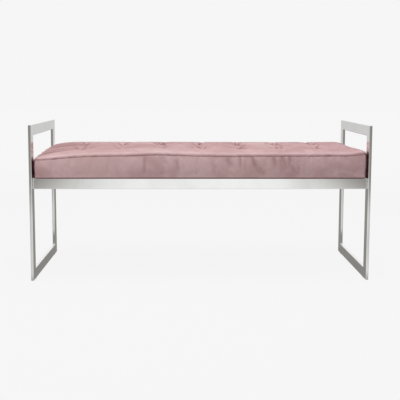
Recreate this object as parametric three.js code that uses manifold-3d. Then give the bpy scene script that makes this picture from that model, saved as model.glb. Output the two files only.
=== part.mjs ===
// Luggage bench: two end frames of flat tube, a seat ladder screwed between them, a tufted velvet cushion.
// Millimetres. +X runs along the bench, +Y to its back, +Z up. The origin is on the floor under its centre.

import * as THREE from 'three';
import { mergeVertices } from 'three/addons/utils/BufferGeometryUtils.js';
import Module from 'manifold-3d';

const wasm = await Module();
wasm.setup();

// Overall sizes
const benchLength = 1200;
const benchDepth = 450;
const frameHeight = 552;
const seatRailTop = 364;

// Flat tube
const barWidth = 38;
const barThickness = 10;
const barWall = 1.2;
const barEdgeRadius = 1.8;

// Gaps between pieces that are welded, rest on each other or go through a hole
const weldGap = 0.3;
const seatGap = 0.3;
const holeGap = 0.3;

// Seat rail plugs
const plugCollar = 5;
const plugRound = 3;
const plugSpigot = 22;

// Countersunk frame screws and their spacers
const frameScrewRadius = 3;
const frameScrewHeadRadius = 6;
const frameScrewHeadLand = 0.5;
const frameScrewLength = 30;
const socketRadius = 2.3;
const socketDepth = 2.4;
const socketSides = 6;
const spacerRadius = 8;

// Cross bars and the seat screws that go up through them
const crossBarCount = 3;
const seatScrewRadius = 2.2;
const seatScrewHeadRadius = 4.5;
const seatScrewHeadHeight = 2.6;
const seatScrewBite = 11;
const seatScrewSpacing = 240;

// Floor glides
const glideRadius = 4.5;
const glideHeight = 2;
const glideStemRadius = 2;
const glideStemLength = 6;
const glideInset = 45;

// Cushion
const dustCoverThickness = 1;
const dustCoverInset = 5;
const coverThickness = 1.5;
const hemWidth = 30;
const boardThickness = 15;
const cushionHeight = 80;
const cushionEndGap = 1.5;
const cushionCorner = 14;
const faceBulge = 6;
const sideDrawIn = 4;
const edgeRoll = 6;
const edgeRollReach = 14;
const crownHeight = 14;
const crownReach = 120;
const cornerSlump = 15;
const slumpLength = 130;
const slumpDepth = 156;

// Tufts and their ties
const tuftColumns = 7;
const tuftRows = 2;
const tuftDepth = 11;
const tuftReach = 26;
const tuftFlat = 6;
const creaseDepth = 5;
const creaseReach = 15;
const twineRadius = 1.2;
const stitchRadius = 4;
const stitchHeight = 1.2;
const anchorRadius = 8;
const anchorHeight = 1;

// Facets, and where the cushion's grid is cut between two tufts or between a tuft and the edge
const edgeSegments = 3;
const roundSegments = 12;
const twineSegments = 8;
const twineHoleSegments = 6;
const cellShares = [0.22, 0.5, 0.78];
const middleShares = [0.5];
const endShares = [0.1, 0.42, 0.76];
const faceShares = [0.1, 0.5];

// Places that follow from the sizes
const frameBase = glideHeight + seatGap;
const frameX = (benchLength - barThickness) / 2;
const postY = (benchDepth - barWidth) / 2;
const glideY = benchDepth / 2 - glideInset;
const innerFaceX = benchLength / 2 - barThickness;
const plugX = innerFaceX - seatGap - plugCollar;
const railTopZ = frameBase + seatRailTop;
const railZ = railTopZ - barWidth / 2;
const crossBarLength = 2 * (postY - barThickness / 2 - weldGap);
const crossBarPitch = 2 * innerFaceX / (crossBarCount + 1);
const dustCoverZ = railTopZ + seatGap;
const hemZ = dustCoverZ + dustCoverThickness + seatGap;
const boardZ = hemZ + Math.max(coverThickness, anchorHeight) + seatGap;
const foamZ = boardZ + boardThickness + seatGap;
const seamZ = hemZ + cushionHeight;
const halfLength = innerFaceX - cushionEndGap;
const halfDepth = postY + barThickness / 2;
const fillingInset = coverThickness + seatGap;
const foamShare = (foamZ - hemZ) / cushionHeight;
const midShare = (1 + foamShare) / 2;

const finishes = {
  polishedSteel: { color: 0xc9c9c7, roughness: 0.12, metalness: 1 },
  turnedSteel: { color: 0x9d9d9b, roughness: 0.35, metalness: 1 },
  pinkVelvet: { color: 0xc39ea1, roughness: 0.85, metalness: 0 },
  pinkTwine: { color: 0xb08a8e, roughness: 0.8, metalness: 0 },
  foam: { color: 0xe9e2c8, roughness: 0.95, metalness: 0 },
  plywood: { color: 0xc9a777, roughness: 0.7, metalness: 0 },
  blackCloth: { color: 0x1f1f21, roughness: 0.95, metalness: 0 },
  paleNylon: { color: 0xdedbd4, roughness: 0.5, metalness: 0 },
};

const bench = new THREE.Group();

/** Adds one named piece to a group and returns its mesh. */
function addPiece(group, name, geometry, finish) {
  const mesh = new THREE.Mesh(geometry, new THREE.MeshStandardMaterial(finish));
  mesh.name = name;
  group.add(mesh);
  return mesh;
}

/** A closed geometry as a solid that can be joined and cut. */
function toSolid(geometry) {
  const bare = geometry.clone();
  bare.deleteAttribute('normal');
  bare.deleteAttribute('uv');
  const merged = mergeVertices(bare);
  const vertProperties = new Float32Array(merged.getAttribute('position').array);
  const triVerts = new Uint32Array(merged.getIndex().array);
  return new wasm.Manifold(new wasm.Mesh({ numProp: 3, vertProperties, triVerts }));
}

/** The geometry of a solid. */
function toGeometry(solid) {
  const { vertProperties, triVerts } = solid.getMesh();
  const geometry = new THREE.BufferGeometry();
  geometry.setAttribute('position', new THREE.BufferAttribute(vertProperties, 3));
  geometry.setIndex(new THREE.BufferAttribute(triVerts, 1));
  geometry.computeVertexNormals();
  return geometry;
}

/** A geometry with the given cutters taken out of it. */
function cut(geometry, cutters) {
  const solid = cutters.reduce((rest, cutter) => rest.subtract(toSolid(cutter)), toSolid(geometry));
  return toGeometry(solid);
}

/** A geometry from its corner points and the triangles between them. */
function fromTriangles(points, triangles) {
  const geometry = new THREE.BufferGeometry();
  geometry.setAttribute('position', new THREE.Float32BufferAttribute(points.flat(), 3));
  geometry.setIndex(triangles.flat());
  geometry.computeVertexNormals();
  return geometry;
}

/** Evenly pitched places, centred on zero. */
function pitched(count, pitch) {
  return Array.from({ length: count }, (_, index) => (index - (count - 1) / 2) * pitch);
}

/** A turned piece along Z from [radius, height] points that start and end on the axis, lowest first. */
function turned(profile, segments) {
  const points = profile.map(([radius, height]) => new THREE.Vector2(radius, height));
  return new THREE.LatheGeometry(points, segments).rotateX(Math.PI / 2);
}

/** A round pin along Z between two heights. */
function pin(radius, low, high, segments) {
  return turned([[0, low], [radius, low], [radius, high], [0, high]], segments);
}

/** The outline of the flat tube, drawn in by an inset, with its wide side along Y. */
function barOutline(Outline, inset) {
  const radius = Math.max(barEdgeRadius - inset, barWall / 2);
  const x = barThickness / 2 - inset - radius;
  const y = barWidth / 2 - inset - radius;
  const outline = new Outline();
  outline.absarc(x, y, radius, 0, Math.PI / 2);
  outline.absarc(-x, y, radius, Math.PI / 2, Math.PI);
  outline.absarc(-x, -y, radius, Math.PI, Math.PI * 1.5);
  outline.absarc(x, -y, radius, Math.PI * 1.5, Math.PI * 2);
  outline.closePath();
  return outline;
}

/** A straight flat tube along Z, centred on zero. */
function flatTube(length) {
  const section = barOutline(THREE.Shape, 0);
  section.holes.push(barOutline(THREE.Path, barWall));
  const options = { depth: length, bevelEnabled: false, curveSegments: edgeSegments };
  return new THREE.ExtrudeGeometry(section, options).translate(0, 0, -length / 2);
}

/** A flat tube along Z whose ends are mitred at 45 degrees, longest on its +Y side. */
function mitredTube(length) {
  const tube = flatTube(length);
  const position = tube.getAttribute('position');
  for (let index = 0; index < position.count; index += 1) {
    const z = position.getZ(index);
    const cutBack = barWidth / 2 - position.getY(index) + weldGap * Math.SQRT1_2;
    position.setZ(index, z - Math.sign(z) * cutBack);
  }
  tube.computeVertexNormals();
  return tube;
}

/** Turns what lies along Z, wide along Y, to lie along X, wide along Z. */
function layAlongX(geometry) {
  return geometry.rotateX(Math.PI / 2).rotateZ(Math.PI / 2);
}

/** Turns what lies along Z, wide along Y, to lie along Y, wide along X. */
function layAlongY(geometry) {
  return geometry.rotateZ(-Math.PI / 2).rotateX(-Math.PI / 2);
}

/** The body of a frame screw along Z with its flat head at zero, wider and longer by a gap. */
function frameScrewBody(gap) {
  const shank = frameScrewRadius + gap;
  const head = frameScrewHeadRadius + gap;
  const neck = frameScrewRadius - frameScrewHeadRadius - frameScrewHeadLand;
  const tip = -frameScrewLength - gap;
  const profile = [[0, tip], [shank, tip], [shank, neck], [head, -frameScrewHeadLand], [head, gap], [0, gap]];
  return turned(profile, roundSegments);
}

/** A frame screw with its hexagon socket. */
function frameScrew() {
  const socket = pin(socketRadius, -socketDepth, socketDepth, socketSides);
  return cut(frameScrewBody(0), [socket]);
}

/** Turns what points along +Z to point out of the bench at one end. */
function pointOut(geometry, side) {
  return geometry.rotateY(side * Math.PI / 2);
}

/** The hole that a frame screw needs through an end frame, from the middle of the tube. */
function frameScrewHole(side) {
  return pointOut(frameScrewBody(holeGap), side).translate(side * barThickness / 2, 0, 0);
}

/** A post along Z, its outer edge at +Y, bored for its frame screw. */
function post(side) {
  const hole = frameScrewHole(side).translate(0, 0, railZ - frameBase - frameHeight / 2);
  return cut(mitredTube(frameHeight), [hole]);
}

/** The sleeve inside a post that keeps the frame screw from crushing the tube. */
function spacer(side) {
  const half = barThickness / 2 - barWall - seatGap;
  return cut(pointOut(pin(spacerRadius, -half, half, roundSegments), side), [frameScrewHole(side)]);
}

/** A floor rail along Z, its underside at +Y, bored for its glides. */
function floorRail() {
  const holes = [-glideY, glideY].map((place) => {
    const hole = pin(glideStemRadius + holeGap, 0, barWidth, roundSegments);
    return hole.rotateX(-Math.PI / 2).translate(0, 0, place);
  });
  return cut(mitredTube(benchDepth), holes);
}

/** A floor glide: a flat button on the floor and a stem that snaps into the floor rail. */
function floorGlide() {
  const top = glideHeight + glideStemLength;
  return turned([
    [0, 0],
    [glideRadius, 0],
    [glideRadius, glideHeight],
    [glideStemRadius, glideHeight],
    [glideStemRadius, top],
    [0, top],
  ], roundSegments);
}

/** One end frame: two posts, a handle rail and a floor rail, with the screws, spacers and glides in them. */
function addEndFrame(label, side) {
  const frame = new THREE.Group();
  frame.position.x = side * frameX;
  bench.add(frame);
  for (const [place, end] of [['front', -1], ['rear', 1]]) {
    const name = `${label}_${place}`;
    const upright = addPiece(frame, `${name}_post`, post(side * end), finishes.polishedSteel);
    upright.position.set(0, end * postY, frameBase + frameHeight / 2);
    upright.rotation.z = end > 0 ? 0 : Math.PI;
    const screwShape = pointOut(frameScrew(), side);
    const screw = addPiece(frame, `${name}_frame_screw`, screwShape, finishes.turnedSteel);
    screw.position.set(side * barThickness / 2, end * postY, railZ);
    const sleeve = addPiece(frame, `${name}_spacer`, spacer(side), finishes.turnedSteel);
    sleeve.position.set(0, end * postY, railZ);
    const glide = addPiece(frame, `${name}_glide`, floorGlide(), finishes.paleNylon);
    glide.position.y = end * glideY;
  }
  const handle = addPiece(frame, `${label}_handle_rail`, mitredTube(benchDepth), finishes.polishedSteel);
  handle.position.z = frameBase + frameHeight - barWidth / 2;
  handle.rotation.x = Math.PI / 2;
  const floor = addPiece(frame, `${label}_floor_rail`, floorRail(), finishes.polishedSteel);
  floor.position.z = frameBase + barWidth / 2;
  floor.rotation.x = -Math.PI / 2;
}

/** A seat rail's end plug along +Z: a rounded collar as large as the tube, a spigot and a screw hole. */
function railPlug() {
  const collar = new THREE.ExtrudeGeometry(barOutline(THREE.Shape, plugRound / 2), {
    depth: plugCollar - plugRound,
    bevelThickness: plugRound,
    bevelSize: plugRound / 2,
    bevelSegments: edgeSegments,
    curveSegments: edgeSegments,
  });
  const innerRound = new THREE.BoxGeometry(2 * barThickness, 2 * barWidth, 2 * plugRound);
  innerRound.translate(0, 0, -plugRound);
  const spigot = new THREE.ExtrudeGeometry(barOutline(THREE.Shape, barWall + holeGap), {
    depth: plugSpigot + plugCollar / 2,
    bevelEnabled: false,
    curveSegments: edgeSegments,
  });
  spigot.translate(0, 0, -plugSpigot);
  const hole = frameScrewBody(holeGap).translate(0, 0, plugCollar + seatGap + barThickness);
  const plug = toSolid(collar).subtract(toSolid(innerRound)).add(toSolid(spigot)).subtract(toSolid(hole));
  return toGeometry(plug);
}

/** A seat rail with a plug in each end. */
function addSeatRail(label, end) {
  const tube = layAlongX(flatTube(2 * (plugX - weldGap)));
  addPiece(bench, `${label}_seat_rail`, tube, finishes.polishedSteel).position.set(0, end * postY, railZ);
  for (const [place, side] of [['left', -1], ['right', 1]]) {
    const plugShape = layAlongX(railPlug());
    const plug = addPiece(bench, `${place}_${label}_rail_plug`, plugShape, finishes.polishedSteel);
    plug.position.set(side * plugX, end * postY, railZ);
    plug.rotation.z = side > 0 ? 0 : Math.PI;
  }
}

/** A seat screw: its round head under the cross bar and its tip in the seat board. */
function seatScrew() {
  const seat = railTopZ - barThickness - seatGap;
  const base = seat - seatScrewHeadHeight;
  const tip = boardZ + seatScrewBite;
  return turned([
    [0, base],
    [seatScrewHeadRadius / 2, base],
    [seatScrewHeadRadius, seat - seatScrewHeadHeight / 2],
    [seatScrewHeadRadius, seat],
    [seatScrewRadius, seat],
    [seatScrewRadius, tip - seatScrewRadius],
    [0, tip],
  ], roundSegments);
}

/** The hole that a seat screw needs in what it goes through. */
function seatScrewHole(x, y) {
  const low = railTopZ - 2 * barThickness;
  const high = boardZ + seatScrewBite + holeGap;
  return pin(seatScrewRadius + holeGap, low, high, roundSegments).translate(x, y, 0);
}

/** The seat screws' places in plan. */
function seatScrewPlaces() {
  const rows = [-seatScrewSpacing / 2, seatScrewSpacing / 2];
  return pitched(crossBarCount, crossBarPitch).flatMap((x) => rows.map((y) => [x, y]));
}

/** The cross bars between the seat rails, each bored for two seat screws. */
function addCrossBars() {
  for (const [index, x] of pitched(crossBarCount, crossBarPitch).entries()) {
    const bar = layAlongY(flatTube(crossBarLength)).translate(x, 0, railTopZ - barThickness / 2);
    const holes = seatScrewPlaces().map(([holeX, holeY]) => seatScrewHole(holeX, holeY));
    addPiece(bench, `cross_bar_${index + 1}`, cut(bar, holes), finishes.polishedSteel);
  }
  for (const [index, [x, y]] of seatScrewPlaces().entries()) {
    const screw = addPiece(bench, `seat_screw_${index + 1}`, seatScrew(), finishes.turnedSteel);
    screw.position.set(x, y, 0);
  }
}

const tuftXs = pitched(tuftColumns, 2 * halfLength / (tuftColumns + 1));
const tuftYs = pitched(tuftRows, 2 * halfDepth / (tuftRows + 1));

/** The grid lines across the cushion: both edges, both sides of each tuft's flat, and the shares between. */
function gridLines(half, tufts, edgeShares, betweenShares) {
  const stops = [-half, ...tufts.flatMap((place) => [place - tuftFlat, place + tuftFlat]), half];
  const lines = [];
  for (let stop = 0; stop < stops.length; stop += 2) {
    const [low, high] = [stops[stop], stops[stop + 1]];
    const isFirst = stop === 0;
    const isLast = stop === stops.length - 2;
    const mirrored = edgeShares.map((share) => 1 - share).reverse();
    const shares = isFirst ? edgeShares : isLast ? mirrored : betweenShares;
    lines.push(low, ...shares.map((share) => low + share * (high - low)), high);
  }
  return lines;
}

const gridXs = gridLines(halfLength, tuftXs, endShares, cellShares);
const gridYs = gridLines(halfDepth, tuftYs, faceShares, middleShares);

/** The place that is nearest to a value. */
function nearest(places, value) {
  return places.reduce((best, place) => (Math.abs(place - value) < Math.abs(best - value) ? place : best));
}

/** A rounded rise from 0 at the edge to 1 at full reach. */
function rise(distance, reach) {
  const rest = 1 - Math.min(distance / reach, 1);
  return 1 - rest * rest;
}

/** A bell that is 1 at zero and falls away over its reach. */
function bell(distance, reach) {
  return Math.exp(-((distance / reach) ** 2));
}

/** The height of the velvet top at a place in plan: rolled at its edge, crowned, drawn down at the tufts. */
function topHeight(x, y) {
  const tuftX = nearest(tuftXs, x);
  const tuftY = nearest(tuftYs, y);
  const onTuft = Math.max(Math.abs(x - tuftX), Math.abs(y - tuftY)) < 2 * tuftFlat;
  const [dx, dy] = onTuft ? [0, 0] : [x - tuftX, y - tuftY];
  const fromEnd = halfLength - Math.abs(tuftX + dx);
  const fromFace = halfDepth - Math.abs(tuftY + dy);
  const roll = edgeRoll * rise(fromEnd, edgeRollReach) * rise(fromFace, edgeRollReach);
  const inside = rise(fromEnd, crownReach) * rise(fromFace, crownReach);
  const crease = creaseDepth * Math.max(bell(dx, creaseReach), bell(dy, creaseReach));
  const tuft = tuftDepth * bell(Math.hypot(dx, dy), tuftReach);
  const slumpShare = bell(halfLength + tuftX + dx, slumpLength) * bell(halfDepth + tuftY + dy, slumpDepth);
  const slump = cornerSlump * slumpShare;
  return seamZ - slump + roll + inside * (crownHeight - crease) - tuft;
}

/** A place in plan drawn in by an inset: corners rounded, sides pulled in above the board, faces bulging. */
function cushionPlan(x, y, inset, rowShare) {
  const a = halfLength - inset;
  const b = halfDepth - inset;
  const corner = Math.max(cushionCorner - inset, 0);
  const [shareX, shareY] = [x / halfLength, y / halfDepth];
  const overX = Math.abs(shareX) * a - (a - corner);
  const overY = Math.abs(shareY) * b - (b - corner);
  const inCorner = overX > 0 && overY > 0;
  const roundX = inCorner ? overX * (1 - Math.sqrt(1 - (overY / corner) ** 2 / 2)) : 0;
  const roundY = inCorner ? overY * (1 - Math.sqrt(1 - (overX / corner) ** 2 / 2)) : 0;
  const bulge = 4 * faceBulge * rowShare * (1 - rowShare);
  const drawIn = sideDrawIn * Math.max(rowShare - foamShare, 0) / (1 - foamShare);
  const pullX = drawIn * (1 - shareY ** 2);
  const pullY = drawIn * (1 - shareX ** 2) - bulge;
  return [shareX * (a - pullX) - Math.sign(x) * roundX, shareY * (b - pullY) - Math.sign(y) * roundY];
}

/** The grid places round the cushion's edge, anticlockwise from its front left corner. */
function edgePlaces() {
  const [left, right] = [gridXs.at(0), gridXs.at(-1)];
  const [front, rear] = [gridYs.at(0), gridYs.at(-1)];
  return [
    ...gridXs.slice(0, -1).map((x) => [x, front]),
    ...gridYs.slice(0, -1).map((y) => [right, y]),
    ...gridXs.slice(1).reverse().map((x) => [x, rear]),
    ...gridYs.slice(1).reverse().map((y) => [left, y]),
  ];
}

/** The cushion's straight sides and rounded corners at its underside, as an outline in plan. */
function edgeShape(inset) {
  const [cornerX, cornerY] = [Math.abs(gridXs[1]), Math.abs(gridYs[1])];
  const corners = edgePlaces().filter(([x, y]) => Math.abs(x) >= cornerX && Math.abs(y) >= cornerY);
  return new THREE.Shape(corners.map(([x, y]) => new THREE.Vector2(...cushionPlan(x, y, inset, 0))));
}

/** The closed solid between two grids of points, with rings of points up its sides between them. */
function gridSolid(lower, upper, sides) {
  const [columns, rows] = [gridXs.length, gridYs.length];
  const places = gridYs.flatMap((y) => gridXs.map((x) => [x, y]));
  const edge = edgePlaces();
  const layers = [lower, upper].map((layer) => places.map(([x, y]) => layer(x, y)));
  const rings = sides.map((ring) => edge.map(([x, y]) => ring(x, y)));
  const points = [...layers.flat(), ...rings.flat()];
  const top = places.length;
  const at = (column, row) => row * columns + column;
  const triangles = [];
  for (let row = 0; row < rows - 1; row += 1) {
    for (let column = 0; column < columns - 1; column += 1) {
      const [a, b] = [at(column, row), at(column + 1, row)];
      const [c, d] = [at(column + 1, row + 1), at(column, row + 1)];
      triangles.push([top + a, top + b, top + c], [top + a, top + c, top + d], [a, c, b], [a, d, c]);
    }
  }
  const lowest = edge.map(([x, y]) => at(gridXs.indexOf(x), gridYs.indexOf(y)));
  const between = rings.map((_, ring) => edge.map((__, place) => 2 * top + ring * edge.length + place));
  const levels = [lowest, ...between, lowest.map((index) => top + index)];
  for (let level = 1; level < levels.length; level += 1) {
    const [below, above] = [levels[level - 1], levels[level]];
    edge.forEach((_, place) => {
      const next = (place + 1) % edge.length;
      triangles.push([below[place], below[next], above[place]], [below[next], above[next], above[place]]);
    });
  }
  return fromTriangles(points, triangles);
}

/** The tufts' real places, each with its name and the height of the velvet there. */
function tufts() {
  const labels = ['front', 'rear'];
  return tuftYs.flatMap((y, row) => tuftXs.map((x, column) => {
    const [planX, planY] = cushionPlan(x, y, 0, 1);
    const label = tuftYs.length === labels.length ? labels[row] : `row_${row + 1}`;
    return { name: `tuft_tie_${label}_${column + 1}`, x: planX, y: planY, z: topHeight(x, y) };
  }));
}

/** The holes that the tuft ties need, up to each tuft. */
function twineHoles() {
  return tufts().map(({ x, y, z }) => {
    const hole = pin(twineRadius + holeGap, boardZ - anchorHeight, z + stitchHeight, twineHoleSegments);
    return hole.translate(x, y, 0);
  });
}

/** The velvet top panel, one thickness of cloth over the crown and the tufts. */
function topPanel() {
  const lower = (x, y) => [...cushionPlan(x, y, 0, 1), topHeight(x, y) - coverThickness];
  const upper = (x, y) => [...cushionPlan(x, y, 0, 1), topHeight(x, y)];
  return cut(gridSolid(lower, upper, []), twineHoles());
}

/** The height of the sewn edge of the boxing. */
function seamHeight(x, y) {
  return topHeight(x, y) - fillingInset;
}

/** The height halfway between the foam's underside and the sewn edge. */
function midHeight(x, y) {
  return (foamZ + seamHeight(x, y)) / 2;
}

/** The foam under the top panel, clear of the velvet on every side. */
function foamCore() {
  const isEdge = (x, y) => Math.abs(x) === halfLength || Math.abs(y) === halfDepth;
  const inset = (x, y) => (isEdge(x, y) ? fillingInset : 0);
  const lower = (x, y) => [...cushionPlan(x, y, inset(x, y), foamShare), foamZ];
  const upper = (x, y) => [...cushionPlan(x, y, inset(x, y), 1), seamHeight(x, y)];
  const middle = (x, y) => [...cushionPlan(x, y, fillingInset, midShare), midHeight(x, y)];
  return cut(gridSolid(lower, upper, [middle]), twineHoles());
}

/** The velvet boxing: a band round the sides, sewn under the top panel and turned under the seat board. */
function boxing() {
  const hemTop = hemZ + coverThickness;
  const rows = [
    { inset: 0, share: 0, height: () => hemZ },
    { inset: 0, share: foamShare, height: () => foamZ },
    { inset: 0, share: midShare, height: midHeight },
    { inset: 0, share: 1, height: seamHeight },
    { inset: coverThickness, share: 1, height: seamHeight },
    { inset: coverThickness, share: midShare, height: midHeight },
    { inset: coverThickness, share: foamShare, height: () => foamZ },
    { inset: coverThickness, share: 0, height: () => hemTop },
    { inset: hemWidth, share: 0, height: () => hemTop },
    { inset: hemWidth, share: 0, height: () => hemZ },
  ];
  const places = edgePlaces();
  const points = rows.flatMap(({ inset, share, height }) => (
    places.map(([x, y]) => [...cushionPlan(x, y, inset, share), height(x, y)])
  ));
  const count = places.length;
  const triangles = rows.flatMap((_, row) => places.flatMap((__, place) => {
    const [next, above] = [(place + 1) % count, (row + 1) % rows.length];
    const [a, b] = [row * count + place, row * count + next];
    const [c, d] = [above * count + next, above * count + place];
    return [[a, b, c], [a, c, d]];
  }));
  return fromTriangles(points, triangles);
}

/** A tuft tie: an anchor under the seat board, twine through board and foam, and a stitch on the velvet. */
function tuftTie(tuftZ) {
  const anchorTop = boardZ - seatGap;
  const stitch = tuftZ + seatGap;
  return turned([
    [0, anchorTop - anchorHeight],
    [anchorRadius, anchorTop - anchorHeight],
    [anchorRadius, anchorTop],
    [twineRadius, anchorTop],
    [twineRadius, stitch],
    [stitchRadius, stitch],
    [stitchRadius, stitch + stitchHeight],
    [0, stitch + stitchHeight],
  ], twineSegments);
}

/** The cushion: velvet cover, foam, seat board, dust cover and tuft ties. */
function addCushion() {
  const screwHoles = seatScrewPlaces().map(([x, y]) => seatScrewHole(x, y));
  const boardOptions = { depth: boardThickness, bevelEnabled: false };
  const board = new THREE.ExtrudeGeometry(edgeShape(fillingInset), boardOptions).translate(0, 0, boardZ);
  const dustOptions = { depth: dustCoverThickness, bevelEnabled: false };
  const dust = new THREE.ExtrudeGeometry(edgeShape(dustCoverInset), dustOptions).translate(0, 0, dustCoverZ);
  addPiece(bench, 'velvet_top_panel', topPanel(), finishes.pinkVelvet);
  addPiece(bench, 'velvet_boxing', boxing(), finishes.pinkVelvet);
  addPiece(bench, 'foam_core', foamCore(), finishes.foam);
  addPiece(bench, 'seat_board', cut(board, [...twineHoles(), ...screwHoles]), finishes.plywood);
  addPiece(bench, 'dust_cover', cut(dust, screwHoles), finishes.blackCloth);
  for (const { name, x, y, z } of tufts()) {
    addPiece(bench, name, tuftTie(z), finishes.pinkTwine).position.set(x, y, 0);
  }
}

addEndFrame('left', -1);
addEndFrame('right', 1);
addSeatRail('front', -1);
addSeatRail('rear', 1);
addCrossBars();
addCushion();

export default bench;
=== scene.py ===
"""The looks of a luggage bench: polished flat-tube end frames, seat rails and a tufted velvet cushion."""

import logging
import math
from dataclasses import dataclass, field
from enum import Enum
from typing import Any, Mapping, Optional, Union

import bpy
import numpy as np
from mathutils import Matrix, Vector


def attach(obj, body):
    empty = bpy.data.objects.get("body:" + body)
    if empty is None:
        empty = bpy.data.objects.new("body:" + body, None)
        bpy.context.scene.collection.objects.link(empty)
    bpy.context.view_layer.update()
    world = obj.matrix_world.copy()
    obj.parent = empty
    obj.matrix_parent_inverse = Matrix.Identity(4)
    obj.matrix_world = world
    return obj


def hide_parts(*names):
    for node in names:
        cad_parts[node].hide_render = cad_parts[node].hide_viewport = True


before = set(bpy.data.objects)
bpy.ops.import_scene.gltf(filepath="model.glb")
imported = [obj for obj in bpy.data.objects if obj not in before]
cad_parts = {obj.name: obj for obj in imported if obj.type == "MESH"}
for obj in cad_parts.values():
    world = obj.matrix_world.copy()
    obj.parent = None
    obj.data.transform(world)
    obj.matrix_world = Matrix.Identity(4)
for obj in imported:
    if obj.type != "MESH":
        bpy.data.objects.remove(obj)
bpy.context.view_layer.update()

log = logging.getLogger("luggage_bench")

BODY = "root"
SIDES = ("left", "right")
ENDS = ("front", "rear")
SEED = 20
EVEN = (1, 1, 1)

Array = np.ndarray
Colour = tuple[float, float, float, float]
Mesh = bpy.types.Mesh
Options = Optional[Mapping[Any, Any]]
Piece = bpy.types.Object
Socket = bpy.types.NodeSocket
Triple = tuple[float, float, float]
Value = Union["Term", float]


def srgb(red: int, green: int, blue: int) -> Colour:
    """A colour as the renderer takes it.

    Args:
        red, green, blue: The colour as a screen shows it, from 0 to 255.

    Returns:
        The linear colour with full alpha.
    """
    shares = [channel / 255 for channel in (red, green, blue)]
    linear = [share / 12.92 if share <= 0.04045 else ((share + 0.055) / 1.055) ** 2.4 for share in shares]
    return (*linear, 1.0)


class Term:
    """A value that changes over a surface: an output socket with arithmetic."""

    def __init__(self, graph: "Graph", socket: Socket) -> None:
        """Wraps a socket of a graph."""
        self.graph = graph
        self.socket = socket

    def _math(self, operation: str, *operands: Value) -> "Term":
        """A Math node on the operands, as a term."""
        return self.graph.term("ShaderNodeMath", {"operation": operation}, dict(enumerate(operands)))

    def __add__(self, other: Value) -> "Term":
        """The sum."""
        return self._math("ADD", self, other)

    __radd__ = __add__

    def __sub__(self, other: Value) -> "Term":
        """The difference."""
        return self._math("SUBTRACT", self, other)

    def __rsub__(self, other: float) -> "Term":
        """The difference, with the number first."""
        return self._math("SUBTRACT", other, self)

    def __mul__(self, other: Value) -> "Term":
        """The product."""
        return self._math("MULTIPLY", self, other)

    __rmul__ = __mul__

    def at_least(self, other: Value) -> "Term":
        """The larger of the two."""
        return self._math("MAXIMUM", self, other)

    def eased(self, low: float, high: float) -> "Term":
        """A smooth step from 0 to 1 between two values."""
        sockets = {"Value": self, "From Min": low, "From Max": high}
        return self.graph.term("ShaderNodeMapRange", {"interpolation_type": "SMOOTHSTEP"}, sockets)


class Graph:
    """The nodes of one material or of the world."""

    def __init__(self, owner: Union[bpy.types.Material, bpy.types.World]) -> None:
        """Starts from an empty node tree."""
        owner.use_nodes = True
        self.tree = owner.node_tree
        self.tree.nodes.clear()

    def add(self, kind: str, settings: Options = None, inputs: Options = None) -> bpy.types.Node:
        """Adds one node.

        Args:
            kind: The node's type.
            settings: Its own settings.
            inputs: A value or a link for each named or numbered socket.

        Returns:
            The node.
        """
        node = self.tree.nodes.new(kind)
        for name, value in (settings or {}).items():
            setattr(node, name, value)
        for key, value in (inputs or {}).items():
            source = value.socket if isinstance(value, Term) else value
            if isinstance(source, Socket):
                self.tree.links.new(source, node.inputs[key])
            else:
                node.inputs[key].default_value = source
        return node

    def term(self, kind: str, settings: Options, inputs: Options, output: Any = 0) -> Term:
        """Adds a node and gives one of its outputs as a term."""
        return Term(self, self.add(kind, settings, inputs).outputs[output])

    def ray(self, kind: str) -> Term:
        """1 where rays of a kind look, such as "Is Glossy Ray", else 0."""
        return self.term("ShaderNodeLightPath", {}, {}, kind)

    def axes(self, kind: str) -> list[Term]:
        """The three parts of a texture coordinate, such as "Object"."""
        spot = self.add("ShaderNodeTexCoord").outputs[kind]
        parts = self.add("ShaderNodeSeparateXYZ", inputs={0: spot}).outputs
        return [Term(self, part) for part in parts]

    def place(self, scale: Triple = EVEN) -> Socket:
        """The place on the object, stretched by a scale along each axis."""
        spot = self.add("ShaderNodeTexCoord").outputs["Object"]
        return self.add("ShaderNodeMapping", inputs={"Vector": spot, "Scale": scale}).outputs[0]

    def noise(
        self, scale: float, detail: float = 2, rough: float = 0.5, bend: float = 0, stretch: Triple = EVEN
    ) -> Term:
        """Soft noise from 0 to 1.

        Args:
            scale: Waves to the metre.
            detail, rough: How many finer layers it has and how strong they are.
            bend: How far the noise is bent by itself.
            stretch: The stretch of the place along each axis.

        Returns:
            The noise as a term.
        """
        sockets = {"Scale": scale, "Detail": detail, "Roughness": rough, "Distortion": bend}
        return self.term("ShaderNodeTexNoise", {}, {"Vector": self.place(stretch), **sockets})

    def bands(self, direction: str, scale: float, bend: float) -> Term:
        """Even bands from 0 to 1 along a direction, a little bent."""
        sockets = {"Vector": self.place(), "Scale": scale, "Distortion": bend}
        return self.term("ShaderNodeTexWave", {"bands_direction": direction}, sockets)

    def mark(self, name: str) -> Term:
        """A number that the mesh carries under a name."""
        return self.term("ShaderNodeAttribute", {"attribute_name": name}, {}, "Fac")

    def blend(self, share: Term, first: Any, second: Any) -> Socket:
        """Mixes two colours or colour sockets, with a share of the second one."""
        settings = {"data_type": "RGBA", "clamp_factor": True}
        return self.add("ShaderNodeMix", settings, {0: share, 6: first, 7: second}).outputs[2]

    def bump(self, height: Term, depth: float, strength: float) -> Socket:
        """A normal with a relief; the depth is what a height of 1 is worth, in metres."""
        sockets = {"Height": height, "Distance": depth, "Strength": strength}
        return self.add("ShaderNodeBump", inputs=sockets).outputs[0]


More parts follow.
